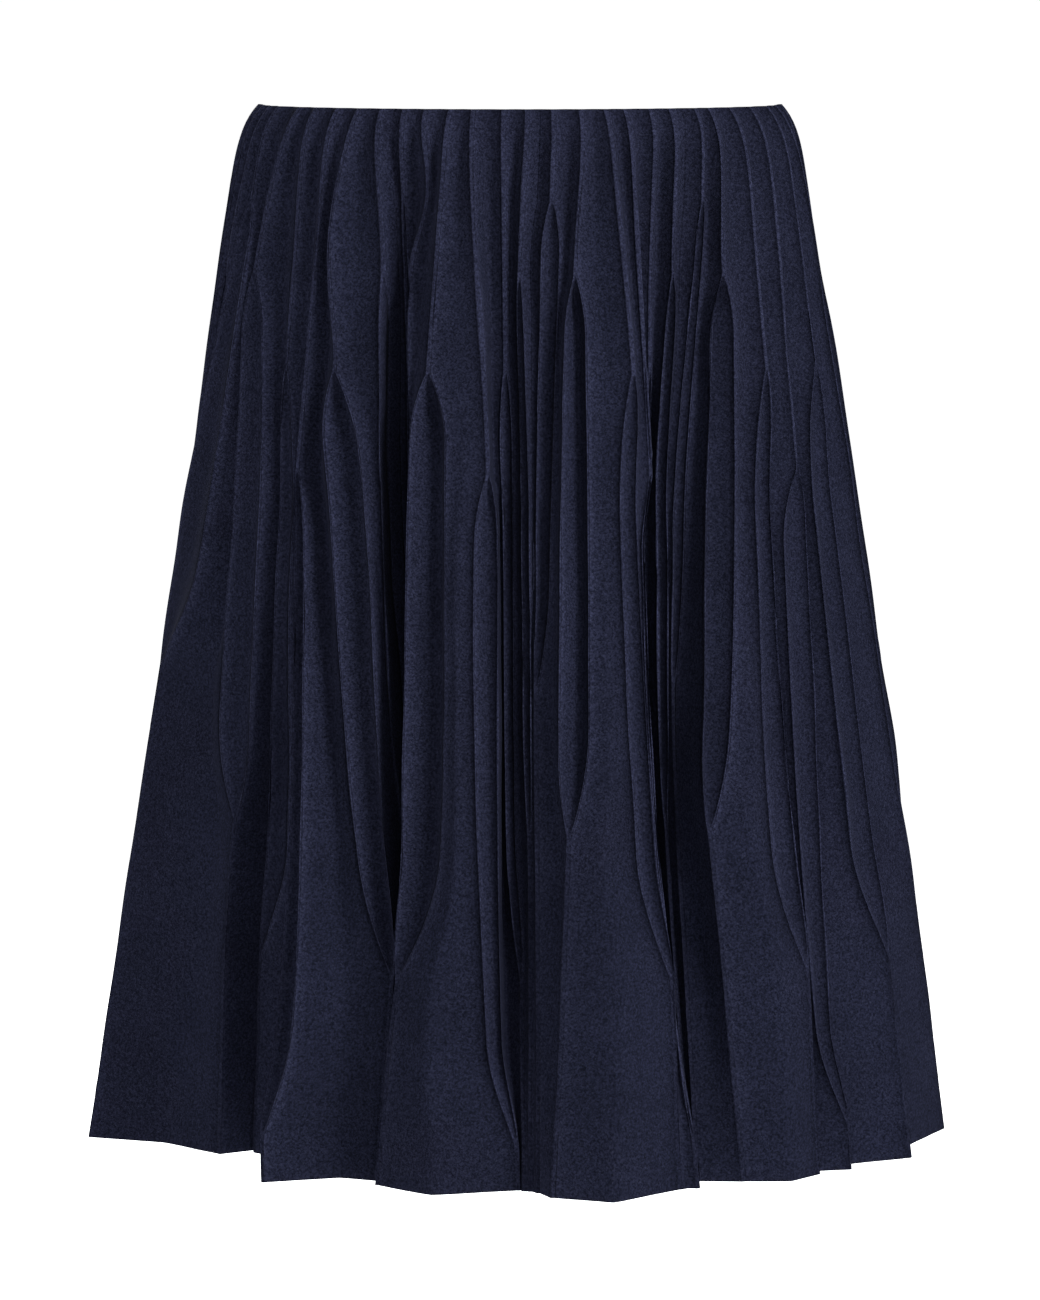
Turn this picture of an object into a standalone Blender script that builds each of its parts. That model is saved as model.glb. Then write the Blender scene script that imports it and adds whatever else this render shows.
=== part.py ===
"""Knee-length wool skirt with sixty seamed pleats, in the hollow form it has when worn.

Ten gores stand side by side round the body, four in front and six behind.  Each carries one
repeat of six pleats, named by tier: A B C D C B.  A pleat is a sharp ridge from the waist down to
its tip, where it splits into two edges with a sunk face, the lens, between them.  The edges meet
again at the foot and run on to the hem as one ridge.  The tiers differ in the height of tip and
foot.  Between two ridges lies a valley, and the gores are sewn together in the valleys left of
the A ridges.

Angles are degrees round the body: 0 at centre front, 90 at the wearer's left side, which is +X.
The origin is the centre of the waist edge, and the skirt hangs from there towards -Z.
"""
import math

import bmesh
import bpy
import numpy as np

# Driving sizes, in metres
LENGTH = 0.580
WALL = 0.0015
SEAM_GAP = 0.0003
WAIST_HALF_WIDTH = 0.1562
WAIST_HALF_DEPTH = 0.110
HEM_HALF_WIDTH = 0.2464
HEM_HALF_DEPTH = 0.207
EDGE_ROLL = 0.010          # how far the top edge turns in over the hip
EDGE_ROLL_HEIGHT = 0.012
RIDGE_WIDTH = 0.0016       # across a closed ridge
WAIST_PLEAT_DEPTH = 0.0028
HIP_PLEAT_DEPTH = 0.0060
HIP_LEVEL = 0.030
THIGH_LEVEL = 0.205        # depth columns "up" hold here
KNEE_LEVEL = 0.395         # depth columns "low" hold here
RIDGE_BEND = 0.6           # how much a closed ridge bends into an S between waist and tip
MITRE_LIMIT = 3.0          # longest inner corner, in wall thicknesses
SHORTEST_INNER = 0.00025

BACK_DIP = 0.085           # the waist edge falls this much for each metre towards the back
DIP_FADE = 0.16            # and the dip has died out at this level

MM = 0.001

# Each tier: how far below the waist its ridges split, stand open, reach their "up" angles, start
# to close and meet
TIERS = {
    "A": {"tip": 0.050, "open": 0.078, "upper": 0.222, "closing": 0.258, "foot": 0.3125},
    "B": {"tip": 0.091, "open": 0.124, "upper": 0.222, "closing": 0.332, "foot": 0.3895},
    "C": {"tip": 0.142, "open": 0.182, "upper": 0.222, "closing": 0.402, "foot": 0.468},
    "D": {"tip": 0.197, "open": 0.232, "upper": 0.240, "closing": 0.500, "foot": 0.556},
}

RIDGE_COLUMNS = ("tier", "waist", "sway", "tip", "first", "up_l", "up_r", "low_l", "low_r", "foot", "hem",
                 "deep_up", "deep_low", "deep_hem", "skew", "lens_at", "lens_deep",
                 "gap_mid", "gap_hem", "gap_up_deep", "gap_low_deep", "gap_hem_deep")
# One row for each front ridge.  Angles (waist .. hem) in degrees; sway bows the closed ridge aside
# half way to its tip, first is the lens's width where it stands open, as a share of its width
# further down; deep_ columns are how far the ridge lies behind the skirt's outline, in mm; skew is
# how much deeper the right edge of the lens lies than the left; lens_at, gap_mid and gap_hem say
# where across the lens or the valley its lowest line is, and lens_deep and gap_.._deep how deep it
# is.  A valley with a negative depth stands out instead.
FRONT_RIDGES = (
    ("A", -66, 0, -65.5, .4, -82, -66.2, -84, -67, -81, -81, 1, 0, 0, 0, .50, 5, .75, .35, 7, 10, 20),
    ("B", -56, 0, -61.5, .85, -59.5, -51, -58, -49.5, -52, -58.5, 6, 18, 50, 0, .75, 4, .60, .10, 7, 12, 20),
    ("C", -50, 0, -49.5, 1, -48, -44.5, -49.5, -44, -52, -56, 12, 34, 68, 0, .50, 3, .70, .90, 5, 14, 52),
    ("D", -43, 0, -43, 1, -42.5, -39, -36.8, -33.2, -37, -36, 8, 10, 8, -6, .50, 8, .42, .54, 11, 12, 15),
    ("C", -37, -3.2, -35.5, 1, -34, -27, -26.5, -21.7, -20, -21.9, 5, 20, 38, 0, .72, 9, .30, .25, 6, 18, 32),
    ("B", -31, 0, -28, .85, -25, -26.3, -22.4, -21.9, -20, -18.6, 20, 37, 60, 16, .50, 3, .50, .50, 4, 3, -2),
    ("A", -25.5, 0, -25.7, .6, -24.2, -22.4, -22.7, -21.3, -21.1, -17.3, 42, 56, 68, 0, .50, 2, .50, .50, 4, 6, 8),
    ("B", -20.5, 2.4, -22.6, .85, -20.4, -19.8, -19.4, -18.9, -19, -16.2, 26, 42, 60, -20, .50, 3, .40, -.3, 4, 9, -12),
    ("C", -15, 0, -16.6, 1, -19.2, -12.6, -18.3, -12, -18.4, -20.8, 4, 12, 27, 0, .80, 11, .45, .45, -3, -8, -19),
    ("D", -10, 0, -5.4, 1, -7.4, -3.6, -4.6, -2.6, -.4, -.2, 4, 10, 24, 4, .50, 5, .15, .15, 18, 26, 3),
    ("C", -3.5, 0, -2.9, 1.3, -3.3, -1.5, -2.2, -.6, .2, .6, 24, 34, 22, 0, .50, 2, .50, .50, 3, 1.5, .5),
    ("B", 1.5, 0, -.2, .85, .2, 1.6, .6, 1.8, 1.5, 1.5, 16, 24, 21, -4, .50, 3, .50, .50, 4, 1.5, .5),
    ("A", 7, 0, 6.3, 1.3, 2.9, 5.6, 2.9, 5.2, 2.6, 2.5, 16, 20, 17, 0, .50, 4, .80, .50, 7, 4, .5),
    ("B", 13, 0, 10.3, .85, 6.8, 11.5, 5.9, 10.5, 7.1, 4.2, 6, 6, 4, 0, .86, 10, .45, .40, 2, -9, -21),
    ("C", 18.5, 0, 20.6, 1, 17, 19.8, 17.6, 20.6, 22.4, 21.8, 4, 10, 13, 0, .50, 3, .60, .50, 3, 4, 2),
    ("D", 23, 0, 24, 1, 21.2, 22.8, 23, 24.1, 24.4, 24.4, 12, 24, 13, 8, .50, 5, .30, .15, 12, 20, 4),
    ("C", 29, 0, 27, 1, 23.8, 25, 24, 25.2, 25.1, 24.7, 28, 46, 35, 0, .50, 2, .50, .50, 4, 6, 1),
    ("B", 34, 0, 31.5, .85, 26, 27.6, 26.2, 27.4, 26.5, 25.7, 18, 38, 33, -4, .50, 3, .50, .50, 4, 5, 1),
    ("A", 41, 0, 39.6, .75, 29, 31.3, 28.6, 30.6, 28.3, 26.6, 17, 33, 31, 0, .50, 3, .80, .50, 8, 10, 0),
    ("B", 45, 0, 41.2, .85, 32.6, 38.7, 29.6, 34.5, 29.4, 32.4, 3, 8, 19, 0, .35, 10, .60, .48, 5, -6, -9),
    ("C", 52, 0, 49.9, 1, 43.1, 46.7, 40, 44.8, 45.2, 44.4, 2, 5, 12, 0, .70, 4, .25, .25, 7, 8, 8),
    ("D", 60, 0, 55.8, 1, 49.4, 55.7, 45.8, 48.9, 50.9, 50.4, 2, 5, 10, 0, .50, 4, .20, .20, 8, 10, 12),
    ("C", 69, 0, 67, 1, 58.4, 65.2, 57.3, 64.5, 65, 63.2, 0, 2, 4, 0, .50, 4, .20, .30, 8, 9, 14),
    ("B", 76, 0, 80, .85, 79, 86, 79.5, 87.5, 80.5, 88, 0, 0, 5, 0, .50, 4, .50, .50, 5, 7, 12),
)

# One repeat at the back.  Places are fractions of the repeat's width instead of degrees.
BACK_RIDGES = (
    ("A", 0, 0, .01, .6, .02, .09, .02, .09, .05, .05, 16, 30, 44, 0, .50, 3, .60, .50, 6, 8, 9),
    ("B", .17, 0, .15, .85, .15, .29, .16, .28, .19, .16, 5, 9, 24, 0, .75, 7, .50, .70, 6, 6, 8),
    ("C", .34, 0, .33, 1, .34, .45, .36, .45, .37, .30, 3, 4, 6, 0, .70, 6, .55, .50, 5, 5, 6),
    ("D", .50, 0, .50, 1, .50, .58, .51, .57, .54, .52, 1, 2, 2, 0, .50, 5, .50, .50, 5, 5, 5),
    ("C", .67, 0, .66, 1, .64, .76, .64, .74, .72, .75, 3, 4, 5, 0, .30, 6, .60, .60, 5, 8, 20),
    ("B", .84, 0, .84, .85, .82, .93, .82, .92, .88, .90, 6, 14, 32, 0, .40, 5, .60, .50, 6, 9, 10),
)
BACK_GORES = 6
# The back starts and ends where the front leaves off: level below the waist, start, end
BACK_LIMITS = ((0, 84, 294), (0.222, 92.5, 277.0), (0.395, 93.5, 275.0), (LENGTH, 96, 278.5))
# Uneven hang of the back gores: shift of the hem in degrees and depth in mm
BACK_SWAY = ((0, 0), (1.5, 3), (-1.2, 0), (1.0, 4), (-1.6, 2), (.8, 0))

LEVELS = (0, 0.014, 0.050, 0.091, 0.142, 0.190, 0.240, 0.3125, 0.3895, 0.430, 0.468, 0.520,
          0.556, LENGTH)


def ease_path(level, stations, values):
    """Smooth curve through the values at the stations, flat where a value is a peak."""
    x = np.asarray(stations, float)
    y = np.asarray(values, float)
    steps = np.diff(x)
    slopes = np.diff(y) / steps
    tangents = np.zeros(len(x))
    tangents[0] = slopes[0]
    tangents[-1] = slopes[-1]
    for k in range(1, len(x) - 1):
        if slopes[k - 1] * slopes[k] > 0:
            tangents[k] = 2 * slopes[k - 1] * slopes[k] / (slopes[k - 1] + slopes[k])
    i = int(np.clip(np.searchsorted(x, level) - 1, 0, len(x) - 2))
    t = (level - x[i]) / steps[i]
    return ((1 + 2 * t) * (1 - t) ** 2 * y[i] + t * (1 - t) ** 2 * steps[i] * tangents[i]
            + t * t * (3 - 2 * t) * y[i + 1] + t * t * (t - 1) * steps[i] * tangents[i + 1])


def shoulder(share):
    """Share of the full lens width, after this share of the opening or closing height."""
    s = min(1.0, max(0.0, share))
    return s * (2 - s)


def lens_opening(tier, level):
    """How far the lens is open at this level, from 0 to 1."""
    t = TIERS[tier]
    opening = shoulder((level - t["tip"]) / (t["open"] - t["tip"]))
    closing = shoulder((t["foot"] - level) / (t["foot"] - t["closing"]))
    return min(opening, closing)


def lens_sink(tier, level):
    """How far the lens has sunk at this level: at once below the tip, gently at the foot."""
    t = TIERS[tier]
    opening = shoulder(2 * (level - t["tip"]) / (t["open"] - t["tip"]))
    return min(opening, lens_opening(tier, max(level, t["closing"])))


def edge_angle(ridge, side, level):
    """Angle of the left or right edge of a ridge at this level."""
    t = TIERS[ridge["tier"]]
    if level <= t["tip"]:
        share = level / t["tip"]
        settled = share + RIDGE_BEND * (share * share * (3 - 2 * share) - share)
        turned = ridge["waist"] + (ridge["tip"] - ridge["waist"]) * settled
        return turned + ridge["sway"] * math.sin(math.pi * share) ** 2
    if level >= t["foot"]:
        return np.interp(level, (t["foot"], LENGTH), (ridge["foot"], ridge["hem"]))
    middles = (ridge["up_l"] + ridge["up_r"]) / 2, (ridge["low_l"] + ridge["low_r"]) / 2
    halves = (ridge["up_r"] - ridge["up_l"]) / 2, (ridge["low_r"] - ridge["low_l"]) / 2
    middle = ease_path(level, (t["tip"], t["upper"], t["closing"], t["foot"]),
                       (ridge["tip"], *middles, ridge["foot"]))
    half = ease_path(min(max(level, t["open"]), t["closing"]),
                     (t["open"], t["upper"], t["closing"]), (ridge["first"] * halves[0], *halves))
    return middle + half * lens_opening(ridge["tier"], level) * (1 if side == "r" else -1)


def ridge_depth(ridge, side, level):
    """How far the edge lies behind the outline, in metres."""
    middle = ease_path(level, (0, 0.050, THIGH_LEVEL, KNEE_LEVEL, LENGTH),
                       (0, 0.4 * ridge["deep_up"], ridge["deep_up"], ridge["deep_low"],
                        ridge["deep_hem"]))
    skew = ridge["skew"] / 2 * lens_opening(ridge["tier"], level)
    return (middle + (skew if side == "r" else -skew)) * MM


def half_sizes(level):
    """Half width and half depth of the outline at this level."""
    share = level / LENGTH
    roll = EDGE_ROLL * math.exp(-level / EDGE_ROLL_HEIGHT)
    width = WAIST_HALF_WIDTH + (HEM_HALF_WIDTH - WAIST_HALF_WIDTH) * share - roll
    depth = WAIST_HALF_DEPTH + (HEM_HALF_DEPTH - WAIST_HALF_DEPTH) * share - roll
    return width, depth


def point_at(angle, deep, level):
    """Point of the section in plan: this far round, this far behind the outline."""
    width, depth = half_sizes(level)
    turn = math.radians(angle)
    return np.array(((width - deep) * math.sin(turn), -(depth - deep) * math.cos(turn)))


def front_ridges():
    return [dict(zip(RIDGE_COLUMNS, row)) for row in FRONT_RIDGES]


def back_ridges():
    """The back repeat, set out in turn over the width that the front leaves free."""
    ridges = []
    for gore, (sway, sink) in enumerate(BACK_SWAY):
        for row in BACK_RIDGES:
            ridge = dict(zip(RIDGE_COLUMNS, row))
            tier = TIERS[ridge["tier"]]
            heights = {"waist": 0, "tip": tier["tip"], "up_l": tier["upper"], "up_r": tier["upper"],
                       "low_l": tier["closing"], "low_r": tier["closing"], "foot": tier["foot"],
                       "hem": LENGTH}
            for column, level in heights.items():
                levels, starts, ends = zip(*BACK_LIMITS)
                start = np.interp(level, levels, starts)
                end = np.interp(level, levels, ends)
                place = (gore + ridge[column]) / BACK_GORES
                ridge[column] = start + (end - start) * place + sway * level / LENGTH
            ridge["deep_hem"] += sink
            ridges.append(ridge)
    return ridges


def valley_point(ridge, following, level):
    """Lowest point between the right edge of one ridge and the left edge of the next."""
    at = ease_path(level, (0, THIGH_LEVEL, KNEE_LEVEL, LENGTH),
                   (.5, ridge["gap_mid"], ridge["gap_mid"], ridge["gap_hem"]))
    deep = ease_path(level, (0, HIP_LEVEL, THIGH_LEVEL, KNEE_LEVEL, LENGTH),
                     (WAIST_PLEAT_DEPTH / MM, HIP_PLEAT_DEPTH / MM, ridge["gap_up_deep"],
                      ridge["gap_low_deep"], ridge["gap_hem_deep"])) * MM
    left = edge_angle(ridge, "r", level)
    right = edge_angle(following, "l", level)
    left_deep = ridge_depth(ridge, "r", level)
    right_deep = ridge_depth(following, "l", level)
    return (left + (right - left) * at), left_deep + (right_deep - left_deep) * at + deep


def section(ridges, level):
    """Outer line of the whole skirt in plan: left edge, lens, right edge, valley of each ridge."""
    width, depth = half_sizes(level)
    points = []
    for i, ridge in enumerate(ridges):
        following = dict(ridges[(i + 1) % len(ridges)])
        if i + 1 == len(ridges):
            for column in ("waist", "tip", "up_l", "up_r", "low_l", "low_r", "foot", "hem"):
                following[column] += 360
        opening = lens_opening(ridge["tier"], level)
        left_deep = ridge_depth(ridge, "l", level)
        right_deep = ridge_depth(ridge, "r", level)
        reach = (width + depth) / 2 - left_deep
        spread = math.degrees(RIDGE_WIDTH / 2 / reach) * (1 - opening)
        left = edge_angle(ridge, "l", level) - spread
        right = edge_angle(ridge, "r", level) + spread
        lens = left + (right - left) * (.5 + (ridge["lens_at"] - .5) * opening)
        lens_deep = left_deep + (right_deep - left_deep) * ridge["lens_at"]
        lens_deep += ridge["lens_deep"] * MM * lens_sink(ridge["tier"], level)
        points.append(point_at(left, left_deep, level))
        points.append(point_at(lens, lens_deep, level))
        points.append(point_at(right, right_deep, level))
        points.append(point_at(*valley_point(ridge, following, level), level))
    return np.array(points)


def inner_line(outer):
    """The same ring one wall further in, with its corners limited so that it never crosses."""
    ahead = np.roll(outer, -1, axis=0) - outer
    ahead_unit = ahead / np.linalg.norm(ahead, axis=1)[:, None]
    normal_next = np.stack((-ahead_unit[:, 1], ahead_unit[:, 0]), axis=1)
    normal_last = np.roll(normal_next, 1, axis=0)
    bisector = normal_last + normal_next
    bisector /= np.maximum(np.linalg.norm(bisector, axis=1), 1e-9)[:, None]
    cosine = np.maximum((bisector * normal_next).sum(axis=1), 1 / MITRE_LIMIT)
    inner = outer + bisector * (WALL / cosine)[:, None]
    for _ in range(6):
        for i in range(len(inner)):
            k = (i + 1) % len(inner)
            along = float(np.dot(inner[k] - inner[i], ahead_unit[i]))
            if along < SHORTEST_INNER:
                middle = (inner[i] + inner[k]) / 2
                inner[i] = middle - ahead_unit[i] * SHORTEST_INNER / 2
                inner[k] = middle + ahead_unit[i] * SHORTEST_INNER / 2
    return inner, bisector


def height_of(y, level):
    """Height of a point: the waist edge falls a little towards the back."""
    return -level - BACK_DIP * max(y, 0) * max(0, 1 - level / DIP_FADE)


def gore_columns(first_ridge, ridge_count, total):
    """Columns of one gore, from the valley before its first ridge to that after its last."""
    start = 4 * first_ridge - 1
    return [(start + k) % total for k in range(4 * ridge_count + 1)]


def gore_rows(sections, columns):
    """Outer and inner points of one gore, its two ends drawn back by half the seam gap."""
    outer_rows = []
    inner_rows = []
    for level, (outer, inner, bisector) in zip(LEVELS, sections):
        out = outer[columns].copy()
        inn = inner[columns].copy()
        for end, sign in ((0, 1), (-1, -1)):
            across = bisector[columns[end]]
            side = np.array((across[1], -across[0])) * sign * SEAM_GAP / 2
            out[end] += side
            inn[end] += side
        outer_rows.append([(x, y, height_of(y, level)) for x, y in out])
        inner_rows.append([(x, y, height_of(y, level)) for x, y in inn])
    return outer_rows, inner_rows


def lofted_wall(name, outer_rows, inner_rows, material):
    """Closed wall between an outer and an inner sheet of points, the same split in both.

    Each end is split from outside to inside going down, so that neighbouring ends lie parallel.
    """
    bm = bmesh.new()
    outer = [[bm.verts.new(p) for p in row] for row in outer_rows]
    inner = [[bm.verts.new(p) for p in row] for row in inner_rows]
    rows = len(outer)
    columns = len(outer[0])
    for r in range(rows - 1):
        for c in range(columns - 1):
            a, b = (r, c), (r, c + 1)
            d, e = (r + 1, c), (r + 1, c + 1)
            falling = (outer[r][c].co - outer[r + 1][c + 1].co).length
            rising = (outer[r][c + 1].co - outer[r + 1][c].co).length
            halves = ((a, d, e), (a, e, b)) if falling <= rising else ((a, d, b), (b, d, e))
            for half in halves:
                bm.faces.new([outer[i][j] for i, j in half])
                bm.faces.new([inner[i][j] for i, j in reversed(half)])
    for r, flip in ((0, False), (rows - 1, True)):
        for c in range(columns - 1):
            ring = [outer[r][c], outer[r][c + 1], inner[r][c + 1], inner[r][c]]
            bm.faces.new(ring[::-1] if flip else ring)
    for c, flip in ((0, True), (columns - 1, False)):
        for r in range(rows - 1):
            near, far = outer[r][c], inner[r + 1][c]
            for half in ([near, outer[r + 1][c], far], [near, far, inner[r][c]]):
                bm.faces.new(half[::-1] if flip else half)
    bmesh.ops.triangulate(bm, faces=[f for f in bm.faces if len(f.verts) > 3])
    bmesh.ops.recalc_face_normals(bm, faces=bm.faces)
    mesh = bpy.data.meshes.new(name)
    bm.to_mesh(mesh)
    bm.free()
    mesh.shade_smooth()
    mesh.set_sharp_from_angle(angle=math.radians(25))
    mesh.materials.append(material)
    return bpy.data.objects.new(name, mesh)


def wool():
    """Dark navy wool flannel."""
    material = bpy.data.materials.new("navy_wool")
    material.use_nodes = True
    shader = material.node_tree.nodes["Principled BSDF"]
    shader.inputs["Base Color"].default_value = (0.013, 0.016, 0.034, 1)
    shader.inputs["Roughness"].default_value = 0.92
    shader.inputs["Metallic"].default_value = 0.0
    return material


def gore_list():
    """Name, first ridge and number of ridges of each gore."""
    front = [("gore_front_%d" % (k + 1), 6 * k, 6) for k in range(len(FRONT_RIDGES) // 6)]
    first = len(FRONT_RIDGES)
    back = [("gore_back_%d" % (k + 1), first + 6 * k, 6) for k in range(BACK_GORES)]
    return front + back


def main():
    for thing in list(bpy.data.objects):
        bpy.data.objects.remove(thing, do_unlink=True)
    skirt = bpy.data.collections.new("pleated_skirt")
    bpy.context.scene.collection.children.link(skirt)
    ridges = front_ridges() + back_ridges()
    sections = []
    for level in LEVELS:
        outer = section(ridges, level)
        sections.append((outer,) + inner_line(outer))
    material = wool()
    for name, first, count in gore_list():
        columns = gore_columns(first, count, 4 * len(ridges))
        rows = gore_rows(sections, columns)
        skirt.objects.link(lofted_wall(name, *rows, material))


main()
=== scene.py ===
"""Knee-length pleated wool skirt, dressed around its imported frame.

Ten gores of navy wool flannel stand round the body.  Each carries six pleats in one repeat of
tiers, A B C D C B.  A pleat is one sharp ridge from the waist to its tip.  There it splits into
two seamed edges with a sunk face between them, the lens, and the edges meet again at the foot.
Angles are degrees round the body: 0 at centre front, 90 at +X.  Levels are metres below the waist.
"""
import math

import bmesh
import bpy
import numpy as np
from bpy.props import FloatProperty, FloatVectorProperty, PointerProperty
from bpy.types import Operator, Panel, PropertyGroup
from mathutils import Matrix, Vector


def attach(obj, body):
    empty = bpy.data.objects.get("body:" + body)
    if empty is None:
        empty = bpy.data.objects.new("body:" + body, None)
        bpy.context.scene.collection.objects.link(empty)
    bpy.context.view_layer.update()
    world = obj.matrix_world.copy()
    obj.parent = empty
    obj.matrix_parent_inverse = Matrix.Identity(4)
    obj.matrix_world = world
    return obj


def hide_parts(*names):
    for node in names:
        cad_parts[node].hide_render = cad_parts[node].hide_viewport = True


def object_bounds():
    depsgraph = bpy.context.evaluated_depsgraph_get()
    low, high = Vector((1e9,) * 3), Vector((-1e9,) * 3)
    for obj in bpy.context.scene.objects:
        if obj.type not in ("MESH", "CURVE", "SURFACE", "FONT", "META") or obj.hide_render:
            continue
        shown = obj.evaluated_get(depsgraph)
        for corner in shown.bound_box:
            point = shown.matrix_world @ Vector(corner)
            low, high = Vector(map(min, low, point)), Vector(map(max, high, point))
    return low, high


bl_info = {
    "name": "Pleated Skirt",
    "version": (1, 0, 0),
    "blender": (4, 5, 0),
    "location": "3D View > Sidebar > Skirt",
    "description": "Builds a knee-length pleated wool skirt around its packed frame",
    "category": "Object",
}

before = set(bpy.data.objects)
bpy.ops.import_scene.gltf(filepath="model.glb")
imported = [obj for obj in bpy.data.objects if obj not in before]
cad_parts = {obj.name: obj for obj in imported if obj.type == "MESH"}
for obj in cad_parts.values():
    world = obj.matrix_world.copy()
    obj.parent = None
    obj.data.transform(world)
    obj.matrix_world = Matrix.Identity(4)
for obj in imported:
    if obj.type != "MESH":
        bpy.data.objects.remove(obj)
FRAME_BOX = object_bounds()
SKIRT_LENGTH = FRAME_BOX[1][2] - FRAME_BOX[0][2]

MM = 0.001
THIGH_LEVEL = 0.205        # depth columns "up" hold here
KNEE_LEVEL = 0.395         # depth columns "low" hold here
HIP_LEVEL = 0.030          # the valleys are hip_pleat deep here
RIDGE_BEND = 0.6           # how much a closed ridge bends into an S between waist and tip
FIRST_LEVEL = 0.050        # here a ridge has sunk by FIRST_SINK of its depth in column "deep_up"
FIRST_SINK = 0.4

# Each tier: how far below the waist its ridges split, stand open, reach their "up" angles, start
# to close and meet
TIERS = {
    "A": {"tip": 0.050, "open": 0.078, "upper": 0.222, "closing": 0.258, "foot": 0.3125},
    "B": {"tip": 0.091, "open": 0.124, "upper": 0.222, "closing": 0.332, "foot": 0.3895},
    "C": {"tip": 0.142, "open": 0.182, "upper": 0.222, "closing": 0.402, "foot": 0.468},
    "D": {"tip": 0.197, "open": 0.232, "upper": 0.240, "closing": 0.500, "foot": 0.556},
}

RIDGE_COLUMNS = ("tier", "waist", "sway", "tip", "first", "up_l", "up_r", "low_l", "low_r",
                 "foot", "hem",
                 "deep_up", "deep_low", "deep_hem", "skew", "lens_at", "lens_deep",
                 "gap_mid", "gap_hem", "gap_up_deep", "gap_low_deep", "gap_hem_deep")
ANGLE_COLUMNS = ("waist", "tip", "up_l", "up_r", "low_l", "low_r", "foot", "hem")
# Two lines for each front ridge.
# The first holds its angles in degrees, waist .. hem.  Sway bows the closed ridge aside half way to
# its tip, and first is the lens's width where it stands open, as a share of its width further down.
# The second holds depths in mm and places across.  The deep_ columns are how far the ridge lies
# behind the skirt's outline, and skew is how much deeper the right edge of the lens lies than the
# left.  lens_at, gap_mid and gap_hem say where across the lens or the valley its lowest line is,
# and lens_deep and gap_.._deep how deep it is.  A valley with a negative depth stands out instead.
FRONT_RIDGES = (
    ("A", -66, 0, -65.5, .4, -82, -66.2, -84, -67, -81, -81,
     1, 0, 0, 0, .50, 5, .75, .35, 7, 10, 20),
    ("B", -56, 0, -61.5, .85, -59.5, -51, -58, -49.5, -52, -58.5,
     6, 18, 50, 0, .75, 4, .60, .10, 7, 12, 20),
    ("C", -50, 0, -49.5, 1, -48, -44.5, -49.5, -44, -52, -56,
     12, 34, 68, 0, .50, 3, .70, .90, 5, 14, 52),
    ("D", -43, 0, -43, 1, -42.5, -39, -36.8, -33.2, -37, -36,
     8, 10, 8, -6, .50, 8, .42, .54, 11, 12, 15),
    ("C", -37, -3.2, -35.5, 1, -34, -27, -26.5, -21.7, -20, -21.9,
     5, 20, 38, 0, .72, 9, .30, .25, 6, 18, 32),
    ("B", -31, 0, -28, .85, -25, -26.3, -22.4, -21.9, -20, -18.6,
     20, 37, 60, 16, .50, 3, .50, .50, 4, 3, -2),
    ("A", -25.5, 0, -25.7, .6, -24.2, -22.4, -22.7, -21.3, -21.1, -17.3,
     42, 56, 68, 0, .50, 2, .50, .50, 4, 6, 8),
    ("B", -20.5, 2.4, -22.6, .85, -20.4, -19.8, -19.4, -18.9, -19, -16.2,
     26, 42, 60, -20, .50, 3, .40, -.3, 4, 9, -12),
    ("C", -15, 0, -16.6, 1, -19.2, -12.6, -18.3, -12, -18.4, -20.8,
     4, 12, 27, 0, .80, 11, .45, .45, -3, -8, -19),
    ("D", -10, 0, -5.4, 1, -7.4, -3.6, -4.6, -2.6, -.4, -.2,
     4, 10, 24, 4, .50, 5, .15, .15, 18, 26, 3),
    ("C", -3.5, 0, -2.9, 1.3, -3.3, -1.5, -2.2, -.6, .2, .6,
     24, 34, 22, 0, .50, 2, .50, .50, 3, 1.5, .5),
    ("B", 1.5, 0, -.2, .85, .2, 1.6, .6, 1.8, 1.5, 1.5,
     16, 24, 21, -4, .50, 3, .50, .50, 4, 1.5, .5),
    ("A", 7, 0, 6.3, 1.3, 2.9, 5.6, 2.9, 5.2, 2.6, 2.5,
     16, 20, 17, 0, .50, 4, .80, .50, 7, 4, .5),
    ("B", 13, 0, 10.3, .85, 6.8, 11.5, 5.9, 10.5, 7.1, 4.2,
     6, 6, 4, 0, .86, 10, .45, .40, 2, -9, -21),
    ("C", 18.5, 0, 20.6, 1, 17, 19.8, 17.6, 20.6, 22.4, 21.8,
     4, 10, 13, 0, .50, 3, .60, .50, 3, 4, 2),
    ("D", 23, 0, 24, 1, 21.2, 22.8, 23, 24.1, 24.4, 24.4,
     12, 24, 13, 8, .50, 5, .30, .15, 12, 20, 4),
    ("C", 29, 0, 27, 1, 23.8, 25, 24, 25.2, 25.1, 24.7,
     28, 46, 35, 0, .50, 2, .50, .50, 4, 6, 1),
    ("B", 34, 0, 31.5, .85, 26, 27.6, 26.2, 27.4, 26.5, 25.7,
     18, 38, 33, -4, .50, 3, .50, .50, 4, 5, 1),
    ("A", 41, 0, 39.6, .75, 29, 31.3, 28.6, 30.6, 28.3, 26.6,
     17, 33, 31, 0, .50, 3, .80, .50, 8, 10, 0),
    ("B", 45, 0, 41.2, .85, 32.6, 38.7, 29.6, 34.5, 29.4, 32.4,
     3, 8, 19, 0, .35, 10, .60, .48, 5, -6, -9),
    ("C", 52, 0, 49.9, 1, 43.1, 46.7, 40, 44.8, 45.2, 44.4,
     2, 5, 12, 0, .70, 4, .25, .25, 7, 8, 8),
    ("D", 60, 0, 55.8, 1, 49.4, 55.7, 45.8, 48.9, 50.9, 50.4,
     2, 5, 10, 0, .50, 4, .20, .20, 8, 10, 12),
    ("C", 69, 0, 67, 1, 58.4, 65.2, 57.3, 64.5, 65, 63.2,
     0, 2, 4, 0, .50, 4, .20, .30, 8, 9, 14),
    ("B", 76, 0, 80, .85, 79, 86, 79.5, 87.5, 80.5, 88,
     0, 0, 5, 0, .50, 4, .50, .50, 5, 7, 12),
)

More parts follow.
